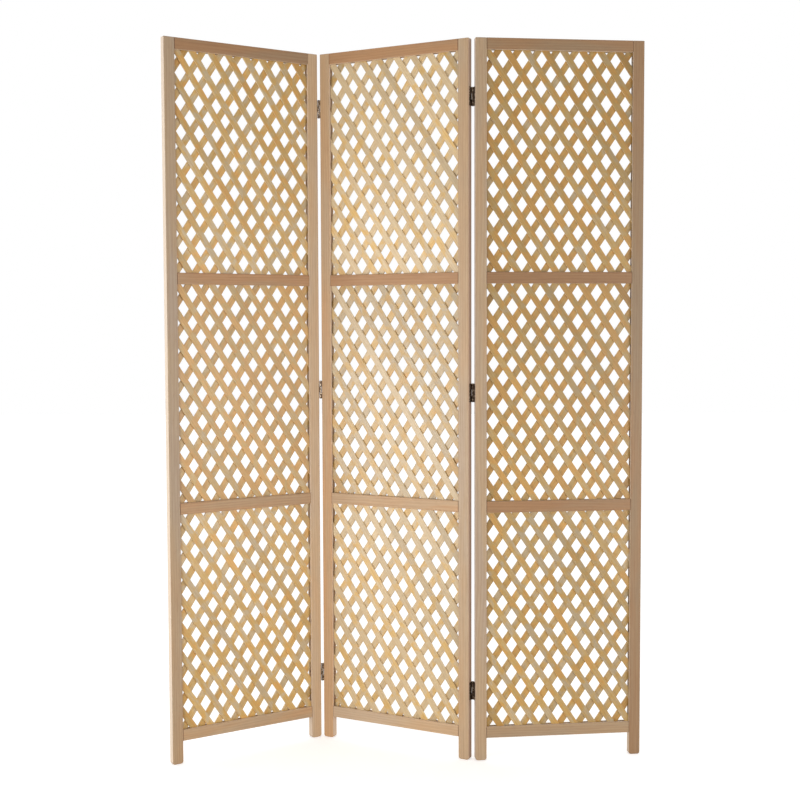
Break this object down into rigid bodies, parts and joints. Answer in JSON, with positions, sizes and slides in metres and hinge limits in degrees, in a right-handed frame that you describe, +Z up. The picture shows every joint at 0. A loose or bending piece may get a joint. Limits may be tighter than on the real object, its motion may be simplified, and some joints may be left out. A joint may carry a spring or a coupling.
{
  "type": "folding lattice room divider",
  "caption": "Free-standing folding screen of hinged wooden panels. Each has a slim frame on stub feet that holds slanting laths crossed into a diamond lattice.",
  "frame": {"origin": "on the floor, under the middle of the bounding box of the screen as it stands", "axes": "+X to the right along the screen, +Y away from the viewer, +Z up"},
  "size_m": [1.1238, 0.2334, 1.7],
  "materials": {
    "frame_wood": "oiled light brown softwood, matt, with fine straight grain",
    "lattice_wood": "sawn pale yellow-brown laths, matt, varying from lath to lath",
    "hinge_iron": "black, half matt, rubbed grey on the edges",
    "pin_and_screw_steel": "blackened steel, half matt"
  },
  "bodies": {
    "middle_panel": {"left_bottom_hinge_inner_leaf": "hinge_iron", "left_bottom_hinge_pin": "pin_and_screw_steel", "left_hinge_inner_screws": "pin_and_screw_steel", "left_middle_hinge_inner_leaf": "hinge_iron", "left_middle_hinge_pin": "pin_and_screw_steel", "left_top_hinge_inner_leaf": "hinge_iron", "left_top_hinge_pin": "pin_and_screw_steel", "middle_panel_bottom_lattice_back": "lattice_wood", "middle_panel_bottom_lattice_front": "lattice_wood", "middle_panel_bottom_rail": "frame_wood", "middle_panel_left_stile": "frame_wood", "middle_panel_lower_rail": "frame_wood", "middle_panel_middle_lattice_back": "lattice_wood", "middle_panel_middle_lattice_front": "lattice_wood", "middle_panel_right_stile": "frame_wood", "middle_panel_top_lattice_back": "lattice_wood", "middle_panel_top_lattice_front": "lattice_wood", "middle_panel_top_rail": "frame_wood", "middle_panel_upper_rail": "frame_wood", "right_bottom_hinge_inner_leaf": "hinge_iron", "right_bottom_hinge_pin": "pin_and_screw_steel", "right_hinge_inner_screws": "pin_and_screw_steel", "right_middle_hinge_inner_leaf": "hinge_iron", "right_middle_hinge_pin": "pin_and_screw_steel", "right_top_hinge_inner_leaf": "hinge_iron", "right_top_hinge_pin": "pin_and_screw_steel"},
    "left_panel": {"left_bottom_hinge_outer_leaf": "hinge_iron", "left_hinge_outer_screws": "pin_and_screw_steel", "left_middle_hinge_outer_leaf": "hinge_iron", "left_panel_bottom_lattice_back": "lattice_wood", "left_panel_bottom_lattice_front": "lattice_wood", "left_panel_bottom_rail": "frame_wood", "left_panel_left_stile": "frame_wood", "left_panel_lower_rail": "frame_wood", "left_panel_middle_lattice_back": "lattice_wood", "left_panel_middle_lattice_front": "lattice_wood", "left_panel_right_stile": "frame_wood", "left_panel_top_lattice_back": "lattice_wood", "left_panel_top_lattice_front": "lattice_wood", "left_panel_top_rail": "frame_wood", "left_panel_upper_rail": "frame_wood", "left_top_hinge_outer_leaf": "hinge_iron"},
    "right_panel": {"right_bottom_hinge_outer_leaf": "hinge_iron", "right_hinge_outer_screws": "pin_and_screw_steel", "right_middle_hinge_outer_leaf": "hinge_iron", "right_panel_bottom_lattice_back": "lattice_wood", "right_panel_bottom_lattice_front": "lattice_wood", "right_panel_bottom_rail": "frame_wood", "right_panel_left_stile": "frame_wood", "right_panel_lower_rail": "frame_wood", "right_panel_middle_lattice_back": "lattice_wood", "right_panel_middle_lattice_front": "lattice_wood", "right_panel_right_stile": "frame_wood", "right_panel_top_lattice_back": "lattice_wood", "right_panel_top_lattice_front": "lattice_wood", "right_panel_top_rail": "frame_wood", "right_panel_upper_rail": "frame_wood", "right_top_hinge_outer_leaf": "hinge_iron"}
  },
  "joints": [
    {"name": "left_fold", "type": "hinge", "parent": "middle_panel", "child": "left_panel", "pos_m": [-0.21241, 0.10216, 0], "axis": [0, 0, 1], "range_deg": [-60.6, 119.4]},
    {"name": "right_fold", "type": "hinge", "parent": "middle_panel", "child": "right_panel", "pos_m": [0.15775, -0.0705, 0], "axis": [0, 0, 1], "range_deg": [-34.6, 145.4]}
  ]
}
